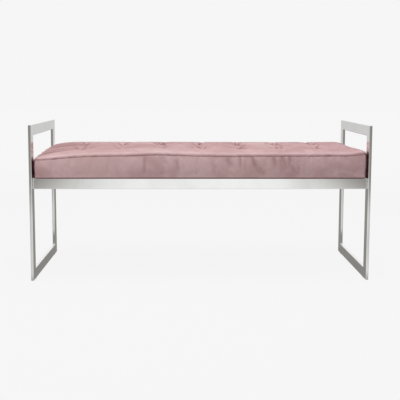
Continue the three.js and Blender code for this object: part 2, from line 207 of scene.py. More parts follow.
@dataclass(frozen=True)
class Finish:
    """A surface finish: its material is made once and shared."""

    name: str

    def material(self) -> bpy.types.Material:
        """Makes the finish's material the first time it is asked for.

        Returns:
            The material.
        """
        title = f"{self.name}_finish"
        found = bpy.data.materials.get(title)
        if found is not None:
            return found
        made = bpy.data.materials.new(title)
        graph = Graph(made)
        shader = graph.add("ShaderNodeBsdfPrincipled", inputs=self.surface(graph))
        graph.add("ShaderNodeOutputMaterial", inputs={"Surface": shader.outputs[0]})
        return made

    def surface(self, graph: Graph) -> dict[str, Any]:
        """The values and links of the shader's sockets."""
        raise NotImplementedError

    def dress(self, *pieces: Piece) -> None:
        """Puts the finish on pieces."""
        for piece in pieces:
            piece.data.materials.clear()
            piece.data.materials.append(self.material())


@dataclass(frozen=True)
class PolishedSteel(Finish):
    """Mirror-polished stainless tube: hand-polished flats with faint haze, wipe marks and hairlines."""

    bright: Colour = srgb(248, 248, 246)
    dull: Colour = srgb(238, 238, 236)
    gloss: float = 0.055
    haze: float = 0.07
    hairline: float = 0.012

    def surface(self, graph: Graph) -> dict[str, Any]:
        """Haze in cloudy patches, hairlines along the tubes and a slight ripple in the flats."""
        cloud = graph.noise(scale=5, detail=4, rough=0.6, bend=0.4).eased(0.35, 0.75)
        lines = graph.noise(scale=60, detail=5, rough=0.7, stretch=(0.35, 6, 6)).eased(0.5, 0.8)
        ripple = graph.noise(scale=22, detail=1)
        return {
            "Base Color": graph.blend(cloud, self.bright, self.dull),
            "Metallic": 1.0,
            "Roughness": self.gloss + self.haze * cloud + self.hairline * lines,
            "Normal": graph.bump(ripple, depth=0.0004, strength=0.05),
        }


@dataclass(frozen=True)
class TurnedSteel(Finish):
    """Plain turned fittings: satin steel with fine tool marks."""

    bright: Colour = srgb(196, 195, 192)
    dull: Colour = srgb(160, 159, 156)

    def surface(self, graph: Graph) -> dict[str, Any]:
        """Fine marks in colour, roughness and relief."""
        marks = graph.noise(scale=900, detail=3, stretch=(1, 0.2, 0.2))
        stain = graph.noise(scale=120, detail=3).eased(0.4, 0.7)
        return {
            "Base Color": graph.blend(stain, self.bright, self.dull),
            "Metallic": 1.0,
            "Roughness": 0.24 + 0.12 * marks + 0.08 * stain,
            "Normal": graph.bump(marks, depth=0.00006, strength=0.5),
        }


@dataclass(frozen=True)
class Velvet(Finish):
    """Dusty pink short-pile velvet: stroked patches, painted shade in its folds, seams and contacts, and a
    painted highlight along its rim.
    """

    pale: Colour = srgb(226, 193, 194)
    deep: Colour = srgb(206, 169, 171)
    brown: Colour = srgb(200, 161, 158)
    # Painted shade colour for the creases, the seam, the foot's contact and the gaps by the posts; also a
    # darker pile tone.
    fold: Colour = srgb(104, 62, 68)
    # Painted highlight colour for the top panel's rim, just above the seam.
    rim_highlight: Colour = srgb(236, 206, 208)

    def surface(self, graph: Graph) -> dict[str, Any]:
        """Patches where the pile lies another way, a fine pile, painted shade in the folds and a painted
        highlight along the rim.
        """
        stroked = graph.noise(scale=7, detail=4, rough=0.55, bend=0.8).eased(0.36, 0.66)
        warm = graph.noise(scale=2.6, bend=0.3).eased(0.42, 0.62)
        pile = graph.noise(scale=1400, rough=0.6, stretch=(1, 1, 0.45))
        brushed = graph.noise(scale=70, detail=3, rough=0.6, stretch=(1, 1, 0.3)).eased(0.3, 0.7)
        ground = graph.blend(stroked, self.pale, self.deep)
        layers = (
            (warm * 0.5, self.brown),
            (brushed * 0.16, self.deep),
            ((pile - 0.3) * 0.3, self.fold),
            # The first mark lays a painted highlight along the rim, the second painted shade in folds,
            # seams and contacts.
            (graph.mark("painted_rim_highlight") * 0.35, self.rim_highlight),
            (graph.mark("fold_shade") * 0.9, self.fold),
        )
        for share, colour in layers:
            ground = graph.blend(share, ground, colour)
        return {
            "Base Color": ground,
            "Roughness": 0.82 + 0.16 * stroked,
            "Specular IOR Level": 0.0,
            "Sheen Weight": 0.06,
            "Sheen Roughness": 0.35,
            "Sheen Tint": srgb(255, 226, 228),
            "Normal": graph.bump(pile * 0.7 + brushed * 0.3, depth=0.0006, strength=0.35),
        }


@dataclass(frozen=True)
class Twine(Finish):
    """Waxed upholstery twine in the velvet's colour, laid in a twist."""

    bright: Colour = srgb(186, 146, 150)
    dark: Colour = srgb(132, 94, 100)

    def surface(self, graph: Graph) -> dict[str, Any]:
        """A twist that runs round the thread."""
        twist = graph.bands("DIAGONAL", scale=260, bend=0.6)
        return {
            "Base Color": graph.blend(twist, self.dark, self.bright),
            "Roughness": 0.5 + 0.2 * twist,
            "Normal": graph.bump(twist, depth=0.0003, strength=0.6),
        }


@dataclass(frozen=True)
class Plywood(Finish):
    """Sanded plywood: long grain on its faces and alternate plies on its edges."""

    light: Colour = srgb(216, 188, 146)
    dark: Colour = srgb(176, 138, 94)
    ply_waves: float = 50 / 3

    def surface(self, graph: Graph) -> dict[str, Any]:
        """Grain along the board and plies through its thickness."""
        grain = graph.noise(scale=26, detail=6, rough=0.6, bend=1.2, stretch=(0.12, 1, 1))
        ply = graph.bands("Z", scale=self.ply_waves, bend=0.3)
        return {
            "Base Color": graph.blend(grain * 0.7 + ply * 0.3, self.light, self.dark),
            "Roughness": 0.55 + 0.25 * grain,
            "Normal": graph.bump(grain, depth=0.0004, strength=0.4),
        }


@dataclass(frozen=True)
class DustCloth(Finish):
    """Black non-woven dust cloth with a rolled-in pattern of small dots."""

    black: Colour = srgb(30, 30, 32)
    fuzz: Colour = srgb(58, 58, 60)

    def surface(self, graph: Graph) -> dict[str, Any]:
        """Pressed dots and loose fibres."""
        dots = graph.term("ShaderNodeTexVoronoi", {}, {"Vector": graph.place(), "Scale": 420})
        pressed = dots.eased(0.2, 0.5)
        fibre = graph.noise(scale=600, detail=4, rough=0.7, stretch=(1, 0.4, 1))
        return {
            "Base Color": graph.blend(fibre.eased(0.35, 0.75), self.black, self.fuzz),
            "Roughness": 0.8 + 0.15 * fibre,
            "Normal": graph.bump(pressed * 0.6 + fibre * 0.4, depth=0.0005, strength=0.6),
        }


@dataclass(frozen=True)
class Nylon(Finish):
    """Moulded pale nylon with a fine spark texture and scuffs."""

    pale: Colour = srgb(222, 218, 208)
    scuffed: Colour = srgb(188, 183, 172)

    def surface(self, graph: Graph) -> dict[str, Any]:
        """Scuffs over a moulded grain."""
        grain = graph.noise(scale=1500)
        scuff = graph.noise(scale=260, detail=4, rough=0.7).eased(0.5, 0.72)
        return {
            "Base Color": graph.blend(scuff, self.pale, self.scuffed),
            "Roughness": 0.4 + 0.2 * grain + 0.1 * scuff,
            "Normal": graph.bump(grain, depth=0.0001, strength=0.5),
        }


STEEL = PolishedSteel("polished_steel")
FITTINGS = TurnedSteel("turned_steel")
VELVET = Velvet("velvet")
TWINE = Twine("twine")
PLYWOOD = Plywood("plywood")
DUST = DustCloth("dust_cloth")
NYLON = Nylon("nylon")


def deselect() -> None:
    """Leaves object mode with nothing selected."""
    if bpy.context.object is not None and bpy.context.object.mode != "OBJECT":
        bpy.ops.object.mode_set(mode="OBJECT")
    bpy.ops.object.select_all(action="DESELECT")


def only(piece: Piece) -> None:
    """Makes one piece the selected and active one."""
    deselect()
    piece.select_set(True)
    bpy.context.view_layer.objects.active = piece


def settle(piece: Piece) -> None:
    """Puts a piece's place, turn and scale into its mesh."""
    only(piece)
    bpy.ops.object.transform_apply(location=True, rotation=True, scale=True)


def modify(piece: Piece, kind: str, **settings: Any) -> None:
    """Adds a modifier to a piece and applies it.

    Args:
        piece: The piece.
        kind: The modifier's type.
        settings: Its settings.
    """
    only(piece)
    modifier = piece.modifiers.new(kind.lower(), kind)
    for name, value in settings.items():
        setattr(modifier, name, value)
    bpy.ops.object.modifier_apply(modifier=modifier.name)


def mesh_piece(name: str, points: Array, faces: Array) -> Piece:
    """A new piece from its points and faces.

    Args:
        name: The piece's name.
        points: Its points, in metres.
        faces: The points of each face, anticlockwise from outside.

    Returns:
        The object, in the scene.
    """
    mesh = bpy.data.meshes.new(name)
    mesh.from_pydata(points.tolist(), [], faces.tolist())
    mesh.shade_smooth()
    piece = bpy.data.objects.new(name, mesh)
    bpy.context.scene.collection.objects.link(piece)
    return piece


def get_rows(mesh: Mesh, kind: str) -> Array:
    """The places, "co", or the normals, "normal", of a mesh's points as rows."""
    flat = np.empty(len(mesh.vertices) * 3)
    mesh.vertices.foreach_get(kind, flat)
    return flat.reshape(-1, 3)


def set_points(mesh: Mesh, points: Array) -> None:
    """Moves a mesh's points to new places."""
    mesh.vertices.foreach_set("co", points.ravel())
    mesh.update()


def get_mark(mesh: Mesh, name: str) -> Array:
    """The number that each of a mesh's points carries under a name."""
    values = np.empty(len(mesh.vertices))
    mesh.attributes[name].data.foreach_get("value", values)
    return values


def set_mark(mesh: Mesh, name: str, values: Array) -> None:
    """Gives each of a mesh's points a number under a name."""
    layer = mesh.attributes.get(name) or mesh.attributes.new(name, "FLOAT", "POINT")
    layer.data.foreach_set("value", np.asarray(values, np.float32))


def rise(distance: Array, reach: float) -> Array:
    """A rounded rise from 0 at the edge to 1 at full reach."""
    return 1 - (1 - np.clip(distance / reach, 0, 1)) ** 2


def bell(distance: Array, reach: float) -> Array:
    """A bell that is 1 at zero and falls away over its reach."""
    return np.exp(-((distance / reach) ** 2))


class FoldKind(Enum):
    """Whether a fold in the velvet stands out or sinks in."""

    RIDGE = 1
    VALLEY = -1


@dataclass(frozen=True)
class Fold:
    """A drag fold in a face of the cushion, from one place to another, fading at both ends."""

    start: tuple[float, float]
    end: tuple[float, float]
    depth: float
    width: float
    kind: FoldKind
    relief: float = 1.6
    fade_in: float = 0.36
    fade_out: float = 0.6
    gone: float = 1.25

    def height(self, along: Array, up: Array) -> Array:
        """How far the velvet stands out at places on a face.

        Args:
            along, up: The places along the face and across it.

        Returns:
            The distance out of the face.
        """
        way = np.subtract(self.end, self.start)
        length = np.hypot(*way)
        way = way / length
        from_x, from_z = along - self.start[0], up - self.start[1]
        share = (from_x * way[0] + from_z * way[1]) / length
        aside = from_x * way[1] - from_z * way[0]
        appear = np.clip(share / self.fade_in + 0.5, 0, 1)
        fade = appear * np.clip((self.gone - share) / self.fade_out, 0, 1)
        return self.relief * self.kind.value * self.depth * bell(aside, self.width) * fade


VALLEY, RIDGE = FoldKind.VALLEY, FoldKind.RIDGE

FRONT_FOLDS = (
    Fold((0.139, 0.442), (0.1445, 0.398), 0.0026, 0.006, VALLEY),
    Fold((0.1465, 0.440), (0.1520, 0.400), 0.0024, 0.005, RIDGE),
    Fold((0.179, 0.444), (0.201, 0.396), 0.0030, 0.006, VALLEY),
    Fold((0.201, 0.396), (0.235, 0.372), 0.0020, 0.007, VALLEY),
    Fold((0.190, 0.440), (0.210, 0.392), 0.0026, 0.006, RIDGE),
    Fold((0.091, 0.438), (0.113, 0.395), 0.0030, 0.010, VALLEY),
    Fold((0.258, 0.442), (0.266, 0.398), 0.0028, 0.006, VALLEY),
    Fold((0.270, 0.440), (0.284, 0.402), 0.0024, 0.006, RIDGE),
    Fold((0.287, 0.442), (0.301, 0.398), 0.0026, 0.006, VALLEY),
    Fold((0.302, 0.442), (0.309, 0.416), 0.0022, 0.005, RIDGE),
    Fold((0.311, 0.444), (0.333, 0.384), 0.0028, 0.006, VALLEY),
    Fold((0.318, 0.424), (0.331, 0.398), 0.0020, 0.005, RIDGE),
    Fold((-0.1970, 0.438), (-0.1955, 0.388), 0.0026, 0.005, VALLEY),
    Fold((-0.2045, 0.436), (-0.2035, 0.392), 0.0018, 0.005, RIDGE),
    Fold((-0.140, 0.446), (-0.127, 0.408), 0.0016, 0.009, VALLEY),
    Fold((-0.085, 0.430), (-0.076, 0.384), 0.0022, 0.007, VALLEY),
    Fold((-0.070, 0.440), (-0.062, 0.392), 0.0014, 0.008, RIDGE),
)

TOP_FOLDS = tuple(
    Fold((-0.572, place), (-0.455, place + slant), height, 0.0075, RIDGE)
    for place, slant, height in (
        (-0.150, 0.030, 0.0030),
        (-0.085, -0.020, 0.0034),
        (-0.020, 0.045, 0.0032),
        (0.050, -0.015, 0.0024),
    )
)


@dataclass(frozen=True)
class Crease:
    """A crease that runs out of a tuft; its depth and width are shares of a full crease's."""

    angle: float
    length: float
    depth: float
    width: float
    x: float = 0.0
    y: float = 0.0
    wander: float = 0.0035
    waves: float = 55
    angle_phase: float = 7
    place_phase: float = 40
    taper: float = 0.7

    def share(self, x: Array, y: Array, width: float) -> Array:
        """How deep the crease is at places in plan.

        Args:
            x, y: The places.
            width: The width of a full crease.

        Returns:
            The share of a full crease's depth.
        """
        across, up = x - self.x, y - self.y
        along = across * math.cos(self.angle) + up * math.sin(self.angle)
        aside = up * math.cos(self.angle) - across * math.sin(self.angle)
        phase = self.angle * self.angle_phase + self.x * self.place_phase
        aside = aside + self.wander * np.sin(along * self.waves + phase)
        fade = np.where(along > 0, np.clip(1 - along / self.length, 0, 1) ** self.taper, bell(along, width))
        return self.depth * fade * bell(aside, width * self.width)


REAR, FRONT = math.pi / 2, -math.pi / 2

TUFT_CREASES = (
    Crease(REAR, 0.110, 0.9, 0.7),
    Crease(REAR + 0.55, 0.090, 0.9, 0.8),
    Crease(REAR - 0.55, 0.090, 0.9, 0.8),
    Crease(REAR - 1.2, 0.062, 0.95, 1.0),
    Crease(REAR + 1.2, 0.062, 0.95, 1.0),
    Crease(FRONT + 0.45, 0.085, 0.9, 0.9),
    Crease(FRONT - 0.15, 0.060, 0.7, 0.7),
    Crease(FRONT - 0.8, 0.055, 0.7, 0.8),
)


@dataclass(frozen=True)
class Settling:
    """How the cover is held while it is blown up, and how much of its moves is kept."""

    tie_radius: float = 0.0065
    crease_width: float = 0.006
    crease_hold: float = 0.5
    seam_hold: float = 0.001
    hem_hold: float = 0.070
    least_hold: float = 0.02
    fixed: float = 0.9
    jitter: float = 0.0004
    frames: int = 18
    most_move: float = 0.0030
    most_side_move: float = 0.0016
    still_reach: float = 0.030
    still_share: float = 0.12


CLOTH_SETTINGS = {
    "quality": 6,
    "mass": 0.25,
    "tension_stiffness": 18,
    "compression_stiffness": 14,
    "shear_stiffness": 6,
    "bending_stiffness": 0.6,
    "use_pressure": True,
    "uniform_pressure_force": 2.0,
    "shrink_min": -0.025,
}


@dataclass(frozen=True)
class Sewing:
    """Where and how deep the seam, the creases and the folds are worked into the cover, and where the
    painted shade and the painted rim highlight go.
    """

    on_seam: float = 0.0005
    margin: float = 0.001
    face_margin: float = 0.002
    seam: float = 0.0026
    stitch: float = 0.009
    stitch_depth: float = 0.0004
    lip: float = 0.0010
    lip_place: float = 0.006
    lip_width: float = 0.004
    lip_waver: float = 0.15
    lip_waves: float = 130
    skyline: float = 0.065
    relief_fade: float = 0.045
    relief_width: float = 0.0066
    relief: float = 0.01012
    most_relief: float = 0.0060
    hollow_place: float = 0.010
    hollow_share: float = 0.5
    # From here on: where the painted shade and the painted rim highlight go.
    full_shade: float = 0.004
    crease_width: float = 0.0052
    crease_gain: float = 1.4
    contact_width: float = 0.0025
    post_width: float = 0.0045
    post_inside: float = 0.186
    rim_place: float = 0.007
    rim_width: float = 0.006


SEAM_PULLS = ((-0.15, 0.0045, 0.085), (0.10, -0.0012, 0.06), (0.47, 0.0010, 0.12))
TOP_STEPS = (0, 0.0018, 0.0040, 0.0070, 0.0110, 0.0160)
BOXING_STEPS = (0.0018, 0.0042, 0.0075, 0.0120)
MARKS = ("plan_x", "plan_y", "band")


@dataclass
class Cushion:
    """The velvet seat cushion: boxed, crowned, sewn down at two rows of tufts and slack at one corner."""

    half_length: float = 0.5885
    half_depth: float = 0.211
    hem_height: float = 0.3679
    seam_height: float = 0.4479
    board_top: float = 0.3850
    hem_width: float = 0.030
    cloth: float = 0.0015
    corner: float = 0.014
    face_bulge: float = 0.004
    side_draw: float = 0.004
    foot: float = 0.0022
    foot_share: float = 0.10
    foot_drop: float = 0.0012
    foot_drop_share: float = 0.05
    edge_roll: float = 0.006
    edge_reach: float = 0.014
    wave_reach: float = 0.12
    crown: float = 0.014
    crown_reach: float = 0.120
    right_reach: float = 0.060
    ear: float = 0.0025
    ear_tilt: float = 0.0030
    ear_reach: float = 0.045
    slump: float = 0.015
    slump_length: float = 0.130
    slump_depth: float = 0.156
    tuft_columns: int = 7
    tuft_rows: int = 2
    tuft_depth: float = 0.011
    tuft_reach: float = 0.018
    valley_depth: float = 0.0035
    valley_reach: float = 0.015
    valley_fade: float = 0.05
    tie_rise: float = 0.004
    dish: float = 0.007
    dish_reach: float = 0.10
    step: float = 0.0062
    even_from: float = 0.018
    even_to: float = 0.006
    hem_step: float = 0.0035
    room: float = 0.5896
    crease_turn: float = 0.20
    crease_growth: tuple[float, float] = (0.55, 1.25)
    crease_deepening: tuple[float, float] = (0.7, 1.15)
    settling: Settling = Settling()
    sewing: Sewing = Sewing()
    rng: np.random.Generator = field(default_factory=lambda: np.random.default_rng(SEED))

    def __post_init__(self) -> None:
        """Works out the boxing's height, the tufts' places and their creases."""
        self.boxing = self.seam_height - self.hem_height
        column = np.arange(self.tuft_columns) - (self.tuft_columns - 1) / 2
        row = np.arange(self.tuft_rows) - (self.tuft_rows - 1) / 2
        self.tuft_xs = column * 2 * self.half_length / (self.tuft_columns + 1)
        self.tuft_ys = row * 2 * self.half_depth / (self.tuft_rows + 1)
        self.rays = [ray for y in self.tuft_ys for x in self.tuft_xs for ray in self._rays(x, y)]

    def _rays(self, x: float, y: float) -> list[Crease]:
        """The creases that run out of one tuft, no two alike.

        Args:
            x, y: The tuft's place in plan.

        Returns:
            The creases.
        """
        rays = []
        for crease in TUFT_CREASES:
            turn = self.rng.normal(0, self.crease_turn)
            length = crease.length * self.rng.uniform(*self.crease_growth)
            depth = crease.depth * self.rng.uniform(*self.crease_deepening)
            rays.append(Crease(crease.angle + turn, length, depth, crease.width, x, y))
        return rays

    def creases(self, x: Array, y: Array, width: float) -> Array:
        """How deep the tufts' creases are at places in plan, as a share of a full crease of a width."""
        return np.maximum.reduce([ray.share(x, y, width) for ray in self.rays])

    def tuft_by(self, x: Array, y: Array) -> tuple[Array, Array]:
        """The tuft nearest to each place in plan."""
        nearest_x = self.tuft_xs[np.abs(x[..., None] - self.tuft_xs).argmin(-1)]
        return nearest_x, self.tuft_ys[np.abs(y[..., None] - self.tuft_ys).argmin(-1)]

    def to_tuft(self, x: Array, y: Array) -> Array:
        """How far each place in plan is from its nearest tuft."""
        tuft_x, tuft_y = self.tuft_by(x, y)
        return np.hypot(x - tuft_x, y - tuft_y)

    def seam_wave(self, x: Array, y: Array) -> Array:
        """How the seam strays from level along the front, where the velvet was pulled."""
        pulled = sum(height * bell(x - place, reach) for place, height, reach in SEAM_PULLS)
        return bell(self.half_depth + y, self.wave_reach) * pulled

    def sunk(self, x: Array, y: Array) -> Array:
        """How far the foam has slumped at the front left corner, less the seam's straying."""
        slump = self.slump * bell(self.half_length + x, self.slump_length)
        return slump * bell(self.half_depth + y, self.slump_depth) - self.seam_wave(x, y)

    def level(self, x: Array, y: Array) -> Array:
        """The height of the top panel at places in plan, before its tufts are drawn down.

        Args:
            x, y: The places.

        Returns:
            Their heights.
        """
        tuft_x, tuft_y = self.tuft_by(x, y)
        from_end = self.half_length - np.abs(x)
        from_face = self.half_depth - np.abs(y)
        roll = self.edge_roll * rise(from_end, self.edge_reach) * rise(from_face, self.edge_reach)
        end_reach = np.where(x > 0, self.right_reach, self.crown_reach)
        inside = rise(from_end, end_reach) * rise(from_face, self.crown_reach)
        past = np.clip((np.abs(y) - self.tuft_ys[-1]) / self.valley_fade, 0, 1)
        columns = bell(x - tuft_x, self.valley_reach) * (1 - past)
        valley = np.maximum(columns, bell(y - tuft_y, self.valley_reach))
        dish = self.dish * bell(y - self.tuft_ys[0], self.dish_reach)
        lift = self.ear + self.ear_tilt * (1 - y / self.half_depth)
        ear = bell(self.half_length - x, self.ear_reach) * lift
        swell = inside * (self.crown - self.valley_depth * valley - dish)
        return self.seam_height + roll + swell + ear - self.sunk(x, y)

    def top(self, x: Array, y: Array) -> Array:
        """The height of the top panel at places in plan, with each tuft drawn down to its tie.

        Args:
            x, y: The places.

        Returns:
            Their heights.
        """
        tuft_x, tuft_y = self.tuft_by(x, y)
        tie = self.seam_height + self.tie_rise - self.sunk(tuft_x, tuft_y)
        drop = self.level(tuft_x, tuft_y) - tie
        return self.level(x, y) - drop * bell(self.to_tuft(x, y), self.tuft_reach)

    def plan(self, x: Array, y: Array, share: Array) -> tuple[Array, Array]:
        """Where a place on the cushion's outline goes at a share of its height.

        Args:
            x, y: The place on the square outline.
            share: 0 at the hem, 1 at the seam.

        Returns:
            The place in plan: corners rounded, sides drawn in towards the seam, faces bulging.
        """
        over_x = np.clip(np.abs(x) - (self.half_length - self.corner), 0, None) / self.corner
        over_y = np.clip(np.abs(y) - (self.half_depth - self.corner), 0, None) / self.corner
        round_x = self.corner * over_x * (1 - np.sqrt(1 - over_y**2 / 2))
        round_y = self.corner * over_y * (1 - np.sqrt(1 - over_x**2 / 2))
        board = (self.board_top - self.hem_height) / self.boxing
        draw = self.side_draw * np.clip(share - board, 0, None) / (1 - board)
        bulge = 4 * self.face_bulge * share * (1 - share) + self.foot * bell(share, self.foot_share)
        share_x, share_y = x / self.half_length, y / self.half_depth
        pull_x = draw * (1 - share_y**2)
        pull_y = draw * (1 - share_x**2) - bulge
        place_x = x - share_x * pull_x - np.sign(x) * round_x
        return place_x, y - share_y * pull_y - np.sign(y) * round_y

    def lines(self, half: float) -> Array:
        """Grid lines across the cushion, close together by the seam.

        Args:
            half: Half the cushion's length or depth.

        Returns:
            The lines' places.
        """
        edge = np.array(TOP_STEPS)
        inner = half - edge[-1]
        middle = np.linspace(-inner, inner, round(2 * inner / self.step) + 1)
        return np.concatenate([-half + edge[:-1], middle, half - edge[:-1][::-1]])

    def build(self) -> Piece:
        """Makes the cushion, lets its cloth settle and adds its seams and creases.

        Returns:
            The cushion.
        """
        xs, ys = self.lines(self.half_length), self.lines(self.half_depth)
        x, y = (axis.ravel() for axis in np.meshgrid(xs, ys))
        grid = np.arange(len(x)).reshape(len(ys), len(xs))
        quads = np.stack([grid[:-1, :-1], grid[:-1, 1:], grid[1:, 1:], grid[1:, :-1]], -1)
        ring = np.concatenate([grid[0, :-1], grid[:-1, -1], grid[-1, :0:-1], grid[:0:-1, 0]])
        from_edge = np.minimum(self.half_length - abs(x), self.half_depth - abs(y))
        points = [np.stack([*self.plan(x, y, np.ones_like(x)), self.top(x, y)], -1)]
        marks = [np.stack([x, y, from_edge], -1)]
        faces = [quads.reshape(-1, 4)]
        edge_x, edge_y = x[ring], y[ring]
        edge_rise = points[0][ring, 2] - self.hem_height
        even = np.arange(self.even_from, self.boxing - self.even_to, self.step)
        upper, lower = ring, np.arange(len(ring)) + len(x)
        for drop in (*BOXING_STEPS, *even, self.boxing - self.hem_step, self.boxing):
            share = np.full(len(ring), 1 - drop / self.boxing)
            height = self.hem_height + edge_rise * share
            height -= self.foot_drop * bell(share, self.foot_drop_share)
            points.append(np.stack([*self.plan(edge_x, edge_y, share), height], -1))
            marks.append(np.stack([edge_x, edge_y, np.full(len(ring), -drop)], -1))
            faces.append(np.stack([upper, lower, np.roll(lower, -1), np.roll(upper, -1)], -1))
            upper, lower = lower, lower + len(ring)
        points, marks = np.concatenate(points), np.concatenate(marks)
        piece = mesh_piece("velvet_cushion", points, np.concatenate(faces))
        for name, values in zip(MARKS, marks.T):
            set_mark(piece.data, name, values)
        self._settle_cloth(piece, points, marks)
        modify(piece, "SUBSURF", levels=1, render_levels=1)
        self._sew(piece.data)
        self._turn_under(piece)
        return piece

    def _turn_under(self, piece: Piece) -> None:
        """Turns the boxing's lower edge under the seat board and closes the cushion over it.

        Args:
            piece: The cushion, open at its underside.
        """
        only(piece)
        bpy.ops.object.mode_set(mode="EDIT")
        bpy.ops.mesh.select_mode(type="EDGE")
        bpy.ops.mesh.select_all(action="DESELECT")
        bpy.ops.mesh.select_non_manifold()
        inset = [1 - self.hem_width / half for half in (self.half_length, self.half_depth)]
        bpy.ops.mesh.extrude_edges_move()
        bpy.ops.transform.resize(value=(*inset, 1), center_override=(0, 0, 0))
        bpy.ops.mesh.extrude_edges_move(TRANSFORM_OT_translate={"value": (0, 0, self.cloth)})
        bpy.ops.mesh.edge_face_add()
        bpy.ops.object.mode_set(mode="OBJECT")

    def _settle_cloth(self, piece: Piece, points: Array, marks: Array) -> None:
        """Blows the cover up between its seams and tufts and keeps the wrinkles.

        Args:
            piece: The cushion.
            points: Its points as they were cut.
            marks: Each point's place in plan and its distance from the seam.
        """
        how = self.settling
        x, y, band = marks.T
        on_top = band > 0
        tied = on_top & (self.to_tuft(x, y) < how.tie_radius)
        sewn = (np.abs(band) < how.seam_hold) | (band < -how.hem_hold)
        held = np.maximum(tied | sewn, how.crease_hold * self.creases(x, y, how.crease_width) * on_top)
        start = points + self.rng.normal(0, how.jitter, points.shape) * (held < how.fixed)[:, None]
        set_points(piece.data, start)
        group = piece.vertex_groups.new(name="sewn")
        for index, weight in enumerate(held):
            if weight > how.least_hold:
                group.add([index], float(weight), "REPLACE")
        cloth = piece.modifiers.new("cloth", "CLOTH")
        for name, value in CLOTH_SETTINGS.items():
            setattr(cloth.settings, name, value)
        cloth.settings.effector_weights.gravity = 0
        cloth.settings.vertex_group_mass = group.name
        cloth.collision_settings.use_collision = False
        for number in range(1, how.frames + 1):
            bpy.context.scene.frame_set(number)
        graph = bpy.context.evaluated_depsgraph_get()
        settled = get_rows(piece.evaluated_get(graph).data, "co")
        piece.modifiers.remove(cloth)
        piece.vertex_groups.clear()
        move = settled - points
        far = np.linalg.norm(move, axis=1, keepdims=True)
        by_seam = np.clip(band / how.still_reach, how.still_share, 1)
        most = np.where(on_top, how.most_move * by_seam, how.most_side_move)[:, None]
        move *= np.tanh(far / most) * most / np.maximum(far, 1e-9)
        log.info("cloth moved %.1f mm at most", far.max() * 1000)
        placed = points + move
        placed[:, 0] = np.clip(placed[:, 0], -self.room, self.room)
        lowest = np.where(on_top, -np.inf, self.hem_height - self.foot_drop)
        placed[:, 2] = np.maximum(placed[:, 2], lowest)
        set_points(piece.data, placed)

    def _sew(self, mesh: Mesh) -> None:
        """Works seam, creases and folds into the settled cover; marks painted shade and a painted rim
        highlight.

        Args:
            mesh: The cushion's mesh, which is moved and marked.
        """
        how = self.sewing
        x, y, band = (get_mark(mesh, name) for name in MARKS)
        points = get_rows(mesh, "co")
        on_top = band > how.on_seam
        on_boxing = (band < -how.on_seam) & (band > how.margin - self.boxing)
        on_front = on_boxing & (y < how.face_margin - self.half_depth)
        around = np.where(np.abs(y) > self.half_depth - how.margin, x, y)
        stitch = 0.5 + 0.5 * np.cos(around * 2 * math.pi / how.stitch)
        lip = how.lip * (1 - how.lip_waver + how.lip_waver * np.sin(around * how.lip_waves))
        out = bell(band - how.lip_place, how.lip_width) * lip
        out -= bell(band, how.seam) * (how.seam + how.stitch_depth * stitch)
        tuft = self.tuft_depth * bell(self.to_tuft(x, y), self.tuft_reach)
        inner = np.clip((band - np.where(y > 0, how.skyline, 0.0)) / how.relief_fade, 0, 1)
        drawn = how.relief * self.creases(x, y, how.relief_width) * inner
        out -= on_top * np.clip(drawn - tuft, 0, how.most_relief)
        hollow = sum(fold.height(x, y + how.hollow_place) for fold in TOP_FOLDS)
        lifted = sum(fold.height(x, y) for fold in TOP_FOLDS)
        out += on_top * (lifted - how.hollow_share * hollow)
        out += on_front * sum(fold.height(x, points[:, 2]) for fold in FRONT_FOLDS)
        moved = points + get_rows(mesh, "normal") * out[:, None]
        moved[:, 0] = np.clip(moved[:, 0], -self.room, self.room)
        set_points(mesh, moved)
        creased = np.clip(self.creases(x, y, how.crease_width) * how.crease_gain, 0, 1)
        by_post = bell(self.half_length - np.abs(x), how.post_width) * (np.abs(y) > how.post_inside)
        # Painted shade: the seam's groove, the tuft creases, hollows under the top folds, the front fold
        # valleys, a painted contact shadow along the foot and painted shade in the gaps beside the posts.
        darkness = (
            (0.95, bell(band + how.seam, how.seam)),
            (0.72, creased * on_top),
            (0.40, np.clip(hollow / how.full_shade, 0, 1) * on_top),
            (0.20, np.clip(-out / how.full_shade, 0, 1) * on_front),
            (0.95, bell(band + self.boxing, how.contact_width) * (band < 0)),
            (1.00, by_post * (band < -how.margin)),
        )
        set_mark(mesh, "fold_shade", np.maximum.reduce([most * share for most, share in darkness]))
        # A painted highlight on the top panel just above the seam.
        set_mark(mesh, "painted_rim_highlight", bell(band - how.rim_place, how.rim_width))

    def place(self) -> None:
        """Builds the cushion, dresses it and sets it in the frame."""
        piece = self.build()
        VELVET.dress(piece)
        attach(piece, BODY)
        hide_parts("velvet_top_panel", "velvet_boxing", "foam_core")
        log.info("velvet_cushion: %d faces", len(piece.data.polygons))


